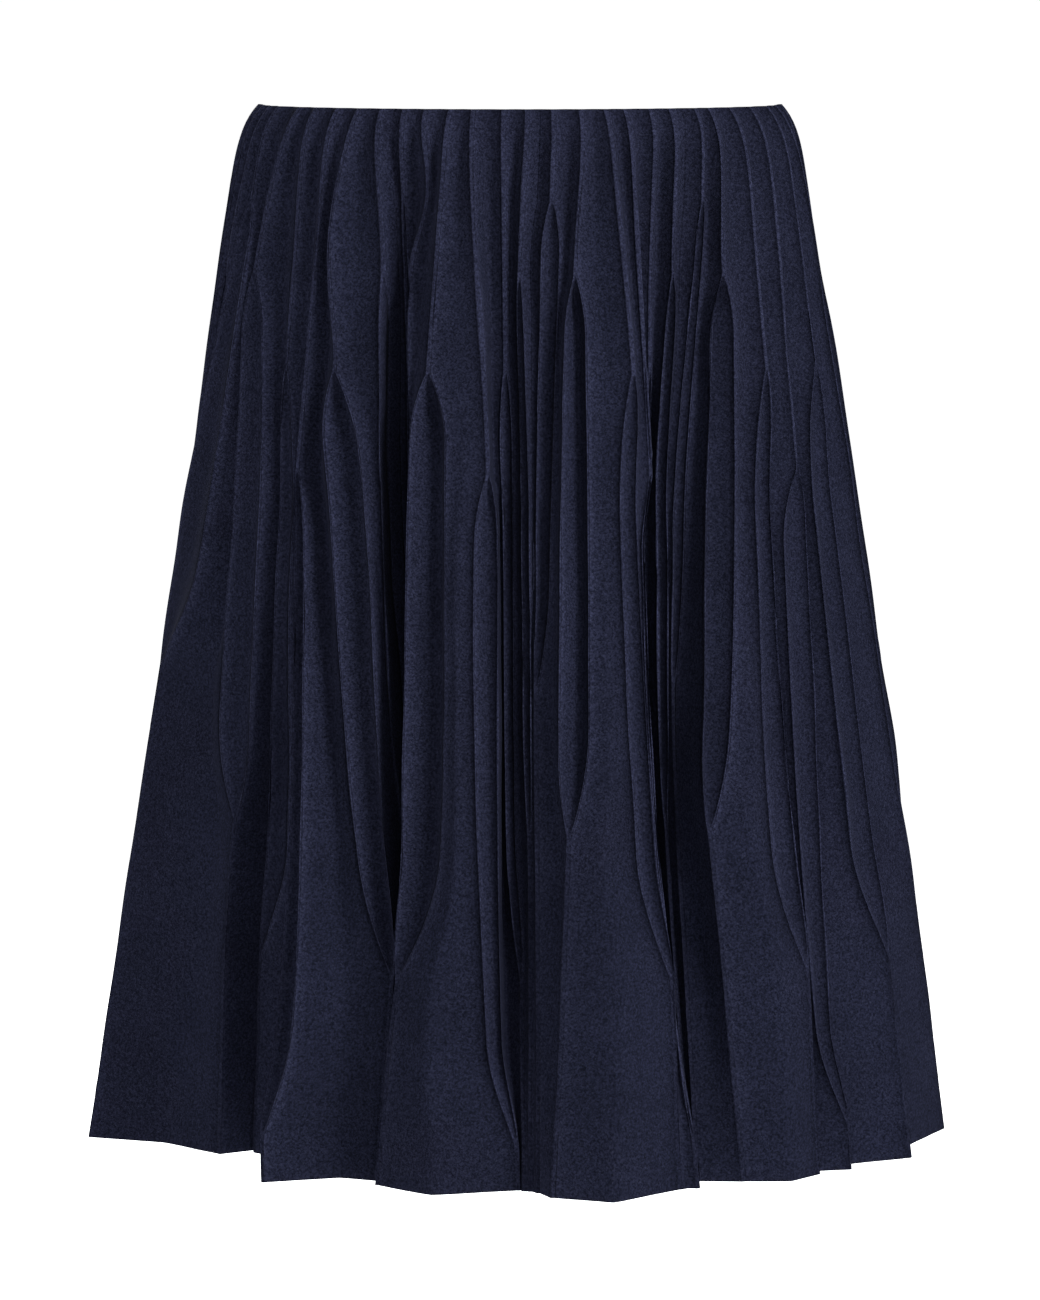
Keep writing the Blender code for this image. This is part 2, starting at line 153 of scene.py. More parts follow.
# One repeat at the back.  Places are fractions of the repeat's width instead of degrees.
BACK_RIDGES = (
    ("A", 0, 0, .01, .6, .02, .09, .02, .09, .05, .05,
     16, 30, 44, 0, .50, 3, .60, .50, 6, 8, 9),
    ("B", .17, 0, .15, .85, .15, .29, .16, .28, .19, .16,
     5, 9, 24, 0, .75, 7, .50, .70, 6, 6, 8),
    ("C", .34, 0, .33, 1, .34, .45, .36, .45, .37, .30,
     3, 4, 6, 0, .70, 6, .55, .50, 5, 5, 6),
    ("D", .50, 0, .50, 1, .50, .58, .51, .57, .54, .52,
     1, 2, 2, 0, .50, 5, .50, .50, 5, 5, 5),
    ("C", .67, 0, .66, 1, .64, .76, .64, .74, .72, .75,
     3, 4, 5, 0, .30, 6, .60, .60, 5, 8, 20),
    ("B", .84, 0, .84, .85, .82, .93, .82, .92, .88, .90,
     6, 14, 32, 0, .40, 5, .60, .50, 6, 9, 10),
)
BACK_GORES = 6
# The back starts and ends where the front leaves off: level below the waist, start, end
BACK_LIMITS = ((0, 84, 294), (0.222, 92.5, 277.0), (0.395, 93.5, 275.0), (SKIRT_LENGTH, 96, 278.5))
# Uneven hang of the back gores: shift of the hem in degrees and depth in mm
BACK_SWAY = ((0, 0), (1.5, 3), (-1.2, 0), (1.0, 4), (-1.6, 2), (.8, 0))

GORE_RIDGES = 6
FRONT_GORES = len(FRONT_RIDGES) // GORE_RIDGES

# Columns of mesh across each quarter of a ridge: from its start or end edge in mm, with the most
# of the quarter that may take, or as a share of the quarter
LENS_LEFT = (("start", 0, 0), ("start", .9, .12), ("start", 2, .25),
             ("share", .38, 0), ("share", .62, 0), ("share", .86, 0))
LENS_RIGHT = (("share", 0, 0), ("share", .14, 0), ("share", .38, 0), ("share", .62, 0),
              ("end", 2, .25), ("end", .9, .12))
GAP_LEFT = (("start", 0, 0), ("start", .9, .10), ("start", 2, .20), ("share", .34, 0),
            ("share", .52, 0), ("share", .70, 0), ("share", .88, 0))
GAP_RIGHT = (("share", 0, 0), ("share", .12, 0), ("share", .30, 0), ("share", .48, 0),
             ("share", .66, 0), ("end", 2, .20), ("end", .9, .10))
QUARTERS = (LENS_LEFT, LENS_RIGHT, GAP_LEFT, GAP_RIGHT)
RIDGE_STEPS = sum(len(quarter) for quarter in QUARTERS)
GAP_START = len(LENS_LEFT) + len(LENS_RIGHT) + len(GAP_LEFT)

# The wall inside a fold
FOLD_SEARCH = 60           # columns looked at to find the other side of the fold
ROOM_ROWS = 3              # rows that share one search
ROOM_TAKEN = .42           # share of the room inside the fold that one wall may take
SAME_CLOTH = 1e-5          # cloth nearer than this, in metres, isn't the other side
LEAST_WALL = .04           # share of the wool's thickness that is always left
WALL_GRADES = 20           # steps in which the wall thins
BARE_WALL = .03            # share of the wool's thickness that grade 0 would leave

EDGE_ROWS = (0, .0007, .0016, .0032, .0060)      # from the waist edge, and again from the hem
ROW_HEIGHT = 0.0040

# Slow unevenness of the hanging cloth: waves round, waves down, phase, height in mm
RIPPLES = ((11, 2.1, .4, .34), (17, -3.3, 2.2, .26), (29, 4.7, 1.1, .20), (43, -6.2, 3.9, .14),
           (7, 7.9, 5.2, .16))
RIPPLE_FADE = .06          # level below the waist where they have their full height

# How far the lowest line of a lens or valley is rounded, as a share of the cloth at either side.
# A lens has the widest rounding.  A valley's grows with its depth, but ends at FOLD_ROUNDING.
WIDEST_ROUNDING = .42
PLAIN_ROUNDING = .10
ROUNDING_DEPTH = 12        # mm of depth that would add a whole share
LEAST_ROUNDING = .06
FOLD_ROUNDING = 3.5        # in mm

# Painted highlight, painted shade and relief beside the seamed edges
SEAM_REACH = 14            # how far from an edge, in mm, its painted light and shade reach
SEAM_OPENING = 3           # a lens that is open by one third of this counts as open there
SEAM_END = .004            # how far below its lens's foot a seam runs out
SEAM_FADE = .012           # height over which it does
CLOSED_SEAM = .55          # strength of the seam's painted highlight and shade where the ridge is closed
OPENED_SEAM = .45          # what an open lens adds to it
SEAM_HIGHLIGHT = ((0, 1), (.22, .80), (.50, .10), (.9, 0), (SEAM_REACH, 0))      # mm from edge, tone of the painted highlight on the seam
# Painted shade and painted light beside an edge: mm from it, share of the painting. It lightens the
# colour to the right of an edge and darkens it to the left of the next
SEAM_PAINTED_SHADING = ((0, 0), (.45, .25), (.95, 1), (1.7, .80), (4, .40), (8.5, .12),
                 (SEAM_REACH, 0))
SEAM_BUMP = .9

# The wool's surface, the noises of its melange, and how each is stretched into a tone
WOOL_FINISH = {"Roughness": 0.9, "Specular IOR Level": 0.002, "Sheen Roughness": 0.45,
               "Sheen Tint": (0.62, 0.66, 0.85, 1)}
FIBRES = {"Scale": 900, "Detail": 3.0, "Roughness": 0.65}
CLUMPS = {"Scale": 560, "Detail": 3.0, "Roughness": 0.6}
FLECKS = {"Scale": 1400, "Detail": 2.0, "Roughness": 0.6}
CLOUDS = {"Scale": 26, "Detail": 2.0, "Roughness": 0.5}
FIBRE_MIX = {"From Min": .40, "From Max": .60}
FLECK_MIX = {"From Min": .60, "From Max": .78, "To Max": .55}
CLUMP_TONE = {"From Min": .35, "From Max": .65, "To Min": .74, "To Max": 1.26}
CLOUD_TONE = {"From Min": .3, "From Max": .7, "To Min": .92, "To Max": 1.09}
FIBRE_HEIGHT = .7          # height of the single fibres beside that of the clumps
NAP_BUMP = .55

# The studio, in metres
FLOOR_ROUGHNESS = 0.9
FLOOR_HALF_WIDTH = 200
FLOOR_CELLS = 8
CAMERA_REACH = 500         # further away than the far edge of the floor
SENSOR_WIDTH = 36          # in mm
LIGHT_DISTANCE = 3.2
# Soft lights: name, degrees round the skirt, degrees above its middle, width, property of its power
SOFT_LIGHTS = (("key_light", 48, 33, 1.0, "key_power"),
               ("top_light", 20, 74, 1.0, "top_power"),
               ("side_light", -78, 26, 1.2, "side_power"),
               ("front_light", -6, 8, 1.2, "front_power"),
               ("back_light", -160, 24, 1.2, "back_power"))


# ------------------------------------------------------------------------------- properties
class SkirtShape(PropertyGroup):
    """Sizes of the skirt's outline and cloth."""
    length: FloatProperty(
        name="Length", description="From the waist edge down to the hem",
        default=SKIRT_LENGTH, min=0.3, max=1.2, unit="LENGTH")
    waist_half_width: FloatProperty(
        name="Waist half width", description="Half the outline's width at the waist",
        default=0.1562, min=0.08, max=0.3, unit="LENGTH")
    waist_half_depth: FloatProperty(
        name="Waist half depth", description="Half the outline's depth at the waist",
        default=0.110, min=0.06, max=0.3, unit="LENGTH")
    hem_half_width: FloatProperty(
        name="Hem half width", description="Half the outline's width at the hem",
        default=0.2464, min=0.1, max=0.6, unit="LENGTH")
    hem_half_depth: FloatProperty(
        name="Hem half depth", description="Half the outline's depth at the hem",
        default=0.207, min=0.1, max=0.6, unit="LENGTH")
    edge_roll: FloatProperty(
        name="Edge roll", description="How far the waist edge turns in over the hip",
        default=0.010, min=0, max=0.03, unit="LENGTH")
    edge_roll_height: FloatProperty(
        name="Edge roll height", description="Height over which the edge turns in",
        default=0.012, min=0.002, max=0.05, unit="LENGTH")
    wall: FloatProperty(
        name="Cloth thickness", description="Thickness of the wool",
        default=0.0015, min=0.0005, max=0.004, unit="LENGTH")
    ridge_width: FloatProperty(
        name="Ridge width", description="Width of a ridge where it is closed",
        default=0.0016, min=0.0008, max=0.004, unit="LENGTH")
    waist_pleat: FloatProperty(
        name="Pleat depth at waist", description="Depth of the valleys at the waist edge",
        default=0.0028, min=0, max=0.01, unit="LENGTH")
    hip_pleat: FloatProperty(
        name="Pleat depth at hip", description="Depth of the valleys on the hip",
        default=0.0060, min=0, max=0.02, unit="LENGTH")
    back_dip: FloatProperty(
        name="Back dip", description="How steeply the waist edge falls towards the centre back",
        default=0.085, min=0, max=0.3)
    dip_fade: FloatProperty(
        name="Dip fade", description="Level below the waist where the dip has died out",
        default=0.16, min=0.05, max=0.5, unit="LENGTH")


class WoolLook(PropertyGroup):
    """Colours and nap of the wool flannel, and the painted highlight, light and shade beside its
    seams.
    """
    navy: FloatVectorProperty(
        name="Navy", description="Main colour of the wool", subtype="COLOR", size=3,
        default=(0.0079, 0.0088, 0.0176), min=0, max=1)
    dark_fibre: FloatVectorProperty(
        name="Dark fibre", description="Colour between the fibres", subtype="COLOR", size=3,
        default=(0.0034, 0.0038, 0.0076), min=0, max=1)
    pale_fibre: FloatVectorProperty(
        name="Pale fibre", description="Colour of the lightest fibres of the melange",
        subtype="COLOR", size=3, default=(0.0212, 0.0236, 0.0362), min=0, max=1)
    nap: FloatProperty(
        name="Nap height", description="Height of the felted nap",
        default=0.00016, min=0, max=0.003, unit="LENGTH")
    sheen: FloatProperty(
        name="Fuzz", description="Strength of the light that the raised fibres catch",
        default=0.006, min=0, max=1)
    seam_relief: FloatProperty(
        name="Seam relief", description="Height of the seamed edges of the pleats",
        default=0.0006, min=0, max=0.003, unit="LENGTH")
    # How much painted highlight lies along the seamed edges
    seam_highlight: FloatProperty(
        name="Seam tone", description="How much lighter the wool is along the seamed edges",
        default=1.25, min=0, max=3)
    # Painted light to the right of each edge and painted shade to the left of the next, laid into
    # the colour
    painted_edge_shading: FloatProperty(
        name="Pressing", description="How much lighter and darker the nap lies beside an edge",
        default=0.80, min=0, max=0.9)
    # Share of that painted light and shade that still goes on below the seams
    edge_shading_below_seams: FloatProperty(
        name="Crease share", description="Share of the pressing that goes on below the seams",
        default=0.40, min=0, max=1)


class StudioLook(PropertyGroup):
    """Floor, light and camera of the studio."""
    floor_colour: FloatVectorProperty(
        name="Floor", description="Colour of the pale floor", subtype="COLOR", size=3,
        default=(0.90, 0.90, 0.90), min=0, max=1)
    floor_drop: FloatProperty(
        name="Floor drop", description="How far the floor lies below the hem",
        default=0.45, min=0.05, max=3, unit="LENGTH")
    floor_glow: FloatProperty(
        name="Floor glow", description="Light from the floor under and round the skirt",
        default=0.62, min=0, max=5)
    far_glow: FloatProperty(
        name="Far glow", description="Light that keeps the far floor as pale as the near floor",
        default=0.98, min=0, max=5)
    near_reach: FloatProperty(
        name="Near reach", description="How far from the waist the near floor's glow holds",
        default=1.6, min=0.5, max=20, unit="LENGTH")
    far_reach: FloatProperty(
        name="Far reach", description="How far from the waist the far floor's glow begins",
        default=5.5, min=1, max=50, unit="LENGTH")
    surround: FloatProperty(
        name="Surround light", description="Strength of the soft light from all round",
        default=0.15, min=0, max=10)
    key_power: FloatProperty(
        name="Key light", description="Power of the large soft light at the front right",
        default=213, min=0, max=1000, unit="POWER")
    top_power: FloatProperty(
        name="Top light", description="Power of the soft light overhead",
        default=15, min=0, max=1000, unit="POWER")
    side_power: FloatProperty(
        name="Side light", description="Power of the weak soft light at the left",
        default=72, min=0, max=1000, unit="POWER")
    front_power: FloatProperty(
        name="Front light", description="Power of the weak soft light that reaches into the folds",
        default=20, min=0, max=1000, unit="POWER")
    back_power: FloatProperty(
        name="Back light", description="Power of the soft light behind, which shows the back",
        default=130, min=0, max=1000, unit="POWER")
    camera_lens: FloatProperty(
        name="Lens", description="Focal length of the camera in mm",
        default=216.1, min=20, max=400)
    camera_distance: FloatProperty(
        name="Camera distance", description="From the camera to the skirt's middle",
        default=3.5, min=1, max=20, unit="LENGTH")
    camera_height: FloatProperty(
        name="Camera height", description="Height of the camera over the waist edge",
        default=0.10, min=-3, max=3, unit="LENGTH")
    camera_tilt: FloatProperty(
        name="Camera tilt", description="How far the camera looks down",
        default=math.radians(6.635), min=-1.5, max=1.5, unit="ROTATION")


# ------------------------------------------------------------------------- shape of the cloth
def ease_path(level, stations, values):
    """Smooth curve through the values at the stations, flat where a value is a peak."""
    x = np.asarray(stations, float)
    y = np.asarray(values, float)
    steps = np.diff(x)
    slopes = np.diff(y) / steps
    tangents = np.zeros(len(x))
    tangents[0] = slopes[0]
    tangents[-1] = slopes[-1]
    for k in range(1, len(x) - 1):
        if slopes[k - 1] * slopes[k] > 0:
            tangents[k] = 2 * slopes[k - 1] * slopes[k] / (slopes[k - 1] + slopes[k])
    i = np.clip(np.searchsorted(x, level) - 1, 0, len(x) - 2)
    t = (level - x[i]) / steps[i]
    return ((1 + 2 * t) * (1 - t) ** 2 * y[i] + t * (1 - t) ** 2 * steps[i] * tangents[i]
            + t * t * (3 - 2 * t) * y[i + 1] + t * t * (t - 1) * steps[i] * tangents[i + 1])


def shoulder(share):
    """Share of the full lens width, after this share of the opening or closing height."""
    s = np.clip(share, 0, 1)
    return s * (2 - s)


def lens_opening(tier, level):
    """How far the lens is open at these levels, from 0 to 1."""
    t = TIERS[tier]
    opening = shoulder((level - t["tip"]) / (t["open"] - t["tip"]))
    closing = shoulder((t["foot"] - level) / (t["foot"] - t["closing"]))
    return np.minimum(opening, closing)


def lens_sink(tier, level):
    """How far the lens has sunk at these levels: at once below the tip, gently at the foot."""
    t = TIERS[tier]
    opening = shoulder(2 * (level - t["tip"]) / (t["open"] - t["tip"]))
    return np.minimum(opening, lens_opening(tier, np.maximum(level, t["closing"])))


def edge_angle(ridge, side, level):
    """Angle of the left or right edge of a ridge at these levels."""
    t = TIERS[ridge["tier"]]
    middles = (ridge["up_l"] + ridge["up_r"]) / 2, (ridge["low_l"] + ridge["low_r"]) / 2
    halves = (ridge["up_r"] - ridge["up_l"]) / 2, (ridge["low_r"] - ridge["low_l"]) / 2
    share = np.clip(level / t["tip"], 0, 1)
    settled = share + RIDGE_BEND * (share * share * (3 - 2 * share) - share)
    above = ridge["waist"] + (ridge["tip"] - ridge["waist"]) * settled
    above = above + ridge["sway"] * np.sin(math.pi * share) ** 2
    below = np.interp(level, (t["foot"], SKIRT_LENGTH), (ridge["foot"], ridge["hem"]))
    middle = ease_path(level, (t["tip"], t["upper"], t["closing"], t["foot"]),
                       (ridge["tip"], *middles, ridge["foot"]))
    half = ease_path(np.clip(level, t["open"], t["closing"]),
                     (t["open"], t["upper"], t["closing"]), (ridge["first"] * halves[0], *halves))
    half = half * lens_opening(ridge["tier"], level) * (1 if side == "r" else -1)
    return np.where(level <= t["tip"], above, np.where(level >= t["foot"], below, middle + half))


def ridge_depth(ridge, side, level):
    """How far the edge lies behind the outline, in metres."""
    middle = ease_path(level, (0, FIRST_LEVEL, THIGH_LEVEL, KNEE_LEVEL, SKIRT_LENGTH),
                       (0, FIRST_SINK * ridge["deep_up"], ridge["deep_up"], ridge["deep_low"],
                        ridge["deep_hem"]))
    skew = ridge["skew"] / 2 * lens_opening(ridge["tier"], level)
    return (middle + (skew if side == "r" else -skew)) * MM


def half_sizes(shape, level):
    """Half width and half depth of the outline at these levels."""
    share = level / shape.length
    roll = shape.edge_roll * np.exp(-level / shape.edge_roll_height)
    width = shape.waist_half_width + (shape.hem_half_width - shape.waist_half_width) * share
    depth = shape.waist_half_depth + (shape.hem_half_depth - shape.waist_half_depth) * share
    return width - roll, depth - roll


def points_at(shape, angle, deep, level):
    """Points of the sections in plan: this far round, this far behind the outline."""
    width, depth = half_sizes(shape, level)
    turn = np.radians(angle)
    return np.stack(((width - deep) * np.sin(turn), -(depth - deep) * np.cos(turn)), axis=-1)


def front_ridges():
    """The front ridges from left to right, their values by the names of the columns."""
    return [dict(zip(RIDGE_COLUMNS, row)) for row in FRONT_RIDGES]


def back_ridges():
    """The back repeat, set out in turn over the width that the front leaves free."""
    ridges = []
    levels, starts, ends = zip(*BACK_LIMITS)
    for gore, (sway, sink) in enumerate(BACK_SWAY):
        for row in BACK_RIDGES:
            ridge = dict(zip(RIDGE_COLUMNS, row))
            tier = TIERS[ridge["tier"]]
            column_levels = {"waist": 0, "tip": tier["tip"], "up_l": tier["upper"],
                             "up_r": tier["upper"], "low_l": tier["closing"],
                             "low_r": tier["closing"], "foot": tier["foot"], "hem": SKIRT_LENGTH}
            for column, level in column_levels.items():
                start = np.interp(level, levels, starts)
                end = np.interp(level, levels, ends)
                place = (gore + ridge[column]) / BACK_GORES
                ridge[column] = start + (end - start) * place + sway * level / SKIRT_LENGTH
            ridge["deep_hem"] += sink
            ridges.append(ridge)
    return ridges


def valley(shape, ridge, following, level):
    """Angle, depth and sharpness of the line between two ridges at these levels."""
    at = ease_path(level, (0, THIGH_LEVEL, KNEE_LEVEL, SKIRT_LENGTH),
                   (.5, ridge["gap_mid"], ridge["gap_mid"], ridge["gap_hem"]))
    drop = ease_path(level, (0, HIP_LEVEL, THIGH_LEVEL, KNEE_LEVEL, SKIRT_LENGTH),
                     (shape.waist_pleat / MM, shape.hip_pleat / MM, ridge["gap_up_deep"],
                      ridge["gap_low_deep"], ridge["gap_hem_deep"]))
    left = edge_angle(ridge, "r", level)
    right = edge_angle(following, "l", level)
    left_deep = ridge_depth(ridge, "r", level)
    right_deep = ridge_depth(following, "l", level)
    return left + (right - left) * at, left_deep + (right_deep - left_deep) * at + drop * MM, drop


def key_sections(shape, ridges, level):
    """Left edge, lens, right edge and valley of every ridge: levels x ridges x 4 x 2."""
    width, depth = half_sizes(shape, level)
    keys = np.zeros((len(level), len(ridges), 4, 2))
    openings = np.zeros((len(level), len(ridges)))
    drops = np.zeros((len(level), len(ridges)))
    for i, ridge in enumerate(ridges):
        following = dict(ridges[(i + 1) % len(ridges)])
        if i + 1 == len(ridges):
            for column in ANGLE_COLUMNS:
                following[column] += 360
        opening = lens_opening(ridge["tier"], level)
        left_deep = ridge_depth(ridge, "l", level)
        right_deep = ridge_depth(ridge, "r", level)
        reach = (width + depth) / 2 - left_deep
        spread = np.degrees(shape.ridge_width / 2 / reach) * (1 - opening)
        left = edge_angle(ridge, "l", level) - spread
        right = edge_angle(ridge, "r", level) + spread
        lens = left + (right - left) * (.5 + (ridge["lens_at"] - .5) * opening)
        lens_deep = left_deep + (right_deep - left_deep) * ridge["lens_at"]
        lens_deep = lens_deep + ridge["lens_deep"] * MM * lens_sink(ridge["tier"], level)
        gap, gap_deep, drops[:, i] = valley(shape, ridge, following, level)
        keys[:, i, 0] = points_at(shape, left, left_deep, level)
        keys[:, i, 1] = points_at(shape, lens, lens_deep, level)
        keys[:, i, 2] = points_at(shape, right, right_deep, level)
        keys[:, i, 3] = points_at(shape, gap, gap_deep, level)
        openings[:, i] = opening
    return keys, openings, drops


def rounded(before, corner, after, share, reach):
    """Point of the path before-corner-after; share runs 0..1..2 and the corner is eased."""
    share = np.clip(share, 0, 2)[..., None]
    reach = np.broadcast_to(np.asarray(reach, float), share.shape[:-1])[..., None]
    first = before + (corner - before) * np.minimum(share, 1)
    second = corner + (after - corner) * np.maximum(share - 1, 0)
    straight = np.where(share <= 1, first, second)
    start = before + (corner - before) * (1 - reach)
    end = corner + (after - corner) * reach
    w = np.clip((share - 1 + reach) / (2 * reach), 0, 1)
    curve = (1 - w) ** 2 * start + 2 * w * (1 - w) * corner + w * w * end
    return np.where(np.abs(share - 1) < reach, curve, straight)


def column_share(column, span):
    """Share of its quarter at which a column lies, where the quarter is this long."""
    kind, place, cap = column
    if kind == "share":
        return np.full_like(span, place)
    near = np.minimum(place * MM / np.maximum(span, 1e-6), cap)
    return near if kind == "start" else 1 - near


def fine_sections(shape, ridges, level):
    """Columns of mesh right round the skirt, and where each lies beside its nearest edge."""
    keys, openings, drops = key_sections(shape, ridges, level)
    rows, count = openings.shape
    left, lens, right, gap = (keys[:, :, k] for k in range(4))
    next_left = np.roll(left, -1, axis=1)
    spans = [np.linalg.norm(b - a, axis=-1)
             for a, b in ((left, lens), (lens, right), (right, gap), (gap, next_left))]
    gap_reach = np.clip(PLAIN_ROUNDING + drops / ROUNDING_DEPTH, PLAIN_ROUNDING, WIDEST_ROUNDING)
    gap_reach = np.minimum(gap_reach, FOLD_ROUNDING * MM / np.maximum(spans[2], spans[3]))
    gap_reach = np.maximum(gap_reach, LEAST_ROUNDING)
    points = np.zeros((rows, count, RIDGE_STEPS, 2))
    seam = np.zeros((rows, count, RIDGE_STEPS))
    side = np.zeros((rows, count, RIDGE_STEPS))
    step = 0
    for quarter, (columns, span) in enumerate(zip(QUARTERS, spans)):
        for column in columns:
            share = column_share(column, span)
            across = share + quarter % 2
            if quarter < 2:
                wide = np.minimum(1, SEAM_OPENING * openings)
                points[:, :, step] = rounded(left, lens, right, across, WIDEST_ROUNDING)
            else:
                wide = 1
                points[:, :, step] = rounded(right, gap, next_left, across, gap_reach)
            # mm to the nearest edge for the painted highlight and shade; a closed ridge counts as
            # all edge, so it gets painted light right across
            seam[:, :, step] = np.abs(share - quarter % 2) * span * wide
            # +1 just right of a face's left edge down to -1 at its right edge: painted light at the
            # one end, painted shade at the other
            side[:, :, step] = np.where(across > 0, 1 - across, 0) * wide
            step += 1
    visible = np.zeros((rows, count))
    for i, ridge in enumerate(ridges):
        tier = TIERS[ridge["tier"]]
        above = np.clip((tier["foot"] + SEAM_END - level) / SEAM_FADE, 0, 1)
        visible[:, i] = above * (CLOSED_SEAM + OPENED_SEAM * openings[:, i])
    following = np.roll(visible, -1, axis=1)
    seam_on = np.repeat(visible[:, :, None], RIDGE_STEPS, axis=2)
    seam_on[:, :, GAP_START:] = following[:, :, None]
    return points, {"seam": seam / MM, "seam_on": seam_on, "seam_side": side}


def ripple(points, level):
    """Slow unevenness of the cloth, in metres out of its surface."""
    around = np.arctan2(points[..., 0], -points[..., 1])
    down = (level / SKIRT_LENGTH)[:, None]
    lift = np.zeros(points.shape[:-1])
    for waves, falls, phase, height in RIPPLES:
        lift += height * MM * np.sin(waves * around + 2 * math.pi * falls * down + phase)
    return lift * np.clip(level / RIPPLE_FADE, 0, 1)[:, None]


def row_levels(length):
    """Levels of the mesh rows, closer together at the waist edge and at the hem."""
    count = int(round((length - 2 * EDGE_ROWS[-1]) / ROW_HEIGHT))
    middle = np.linspace(EDGE_ROWS[-1], length - EDGE_ROWS[-1], count + 1)
    return np.concatenate((EDGE_ROWS[:-1], middle, length - np.array(EDGE_ROWS[-2::-1])))


def heights(shape, points, level):
    """Height of every point: the waist edge falls a little towards the back."""
    fade = np.clip(1 - level / shape.dip_fade, 0, 1)[:, None]
    return -level[:, None] - shape.back_dip * np.maximum(points[..., 1], 0) * fade


def wall_share(shape, points, outward):
    """Share of the wool's thickness that has room inside each fold."""
    rows, count = points.shape[:2]
    share = np.ones((rows, count))
    offsets = np.concatenate((np.arange(-FOLD_SEARCH, -1), np.arange(1, FOLD_SEARCH)))
    ahead = np.roll(points, -1, axis=1) - points
    for first in range(0, rows, ROOM_ROWS):
        p = points[first]
        n = -outward[first]
        picked = (np.arange(count)[:, None] + offsets) % count
        start = p[picked] - p[:, None]
        run = ahead[first][picked]
        cross = n[:, None, 0] * run[..., 1] - n[:, None, 1] * run[..., 0]
        cross = np.where(np.abs(cross) < 1e-12, 1e-12, cross)
        reach = (start[..., 0] * run[..., 1] - start[..., 1] * run[..., 0]) / cross
        along = (start[..., 0] * n[:, None, 1] - start[..., 1] * n[:, None, 0]) / cross
        hit = (reach > SAME_CLOTH) & (along >= 0) & (along <= 1)
        room = np.where(hit, reach, 1).min(axis=1)
        share[first:first + ROOM_ROWS] = np.clip(ROOM_TAKEN * room / shape.wall, LEAST_WALL, 1)
    for axis in (1, 0, 1):
        edge = np.roll(share, 1, axis=axis), np.roll(share, -1, axis=axis)
        share = np.minimum(share, np.minimum(*edge))
    return share


def skirt_surface(shape):
    """What the gores are cut from: levels, points, marks beside the seams, wall share."""
    level = row_levels(shape.length)
    ridges = front_ridges() + back_ridges()
    points, marks = fine_sections(shape, ridges, level)
    rows = len(level)
    points = points.reshape(rows, -1, 2)
    tangent = np.roll(points, -1, axis=1) - np.roll(points, 1, axis=1)
    tangent /= np.maximum(np.linalg.norm(tangent, axis=-1), 1e-9)[..., None]
    outward = np.stack((tangent[..., 1], -tangent[..., 0]), axis=-1)
    points = points + outward * ripple(points, level)[..., None]
    share = wall_share(shape, points, outward)
    marks = {name: values.reshape(rows, -1) for name, values in marks.items()}
    return level, points, marks, share


# ------------------------------------------------------------------------------ cloth pieces
def gore_columns(gore, total):
    """Columns of one gore, from the valley before its first ridge to that after its last."""
    start = gore * GORE_RIDGES * RIDGE_STEPS - len(GAP_RIGHT)
    return np.arange(start, start + GORE_RIDGES * RIDGE_STEPS + 1) % total


def cloth_grid(name, width, rows):
    """Flat grid of this many columns and rows, and the column and row of each of its points."""
    bm = bmesh.new()
    bmesh.ops.create_grid(bm, x_segments=width - 1, y_segments=rows - 1, size=0.5)
    mesh = bpy.data.meshes.new(name)
    bm.to_mesh(mesh)
    bm.free()
    flat = np.zeros(len(mesh.vertices) * 3)
    mesh.vertices.foreach_get("co", flat)
    flat = flat.reshape(-1, 3)
    across = np.rint((flat[:, 0] + .5) * (width - 1)).astype(int)
    down = np.rint((.5 - flat[:, 1]) * (rows - 1)).astype(int)
    return mesh, across, down


def mark_cloth(mesh, marks, uv):
    """Store the marks beside the seams and the lie of the flat cloth, point by point."""
    for label, values in marks.items():
        attribute = mesh.attributes.new(label, "FLOAT", "POINT")
        attribute.data.foreach_set("value", values)
    corners = np.zeros(len(mesh.loops), dtype=int)
    mesh.loops.foreach_get("vertex_index", corners)
    layer = mesh.uv_layers.new(name="cloth")
    layer.data.foreach_set("uv", uv[corners].ravel())


def thicken(piece, wall, share):
    """Give the piece its wall on the inside, thinner where a fold leaves less room."""
    room = piece.vertex_groups.new(name="room")
    weights = np.round(share * WALL_GRADES)
    for grade in range(1, WALL_GRADES + 1):
        room.add(np.nonzero(weights == grade)[0].tolist(), grade / WALL_GRADES, "REPLACE")
    thickness = piece.modifiers.new("thickness", "SOLIDIFY")
    thickness.thickness = wall
    thickness.offset = -1
    thickness.vertex_group = room.name
    thickness.thickness_vertex_group = BARE_WALL


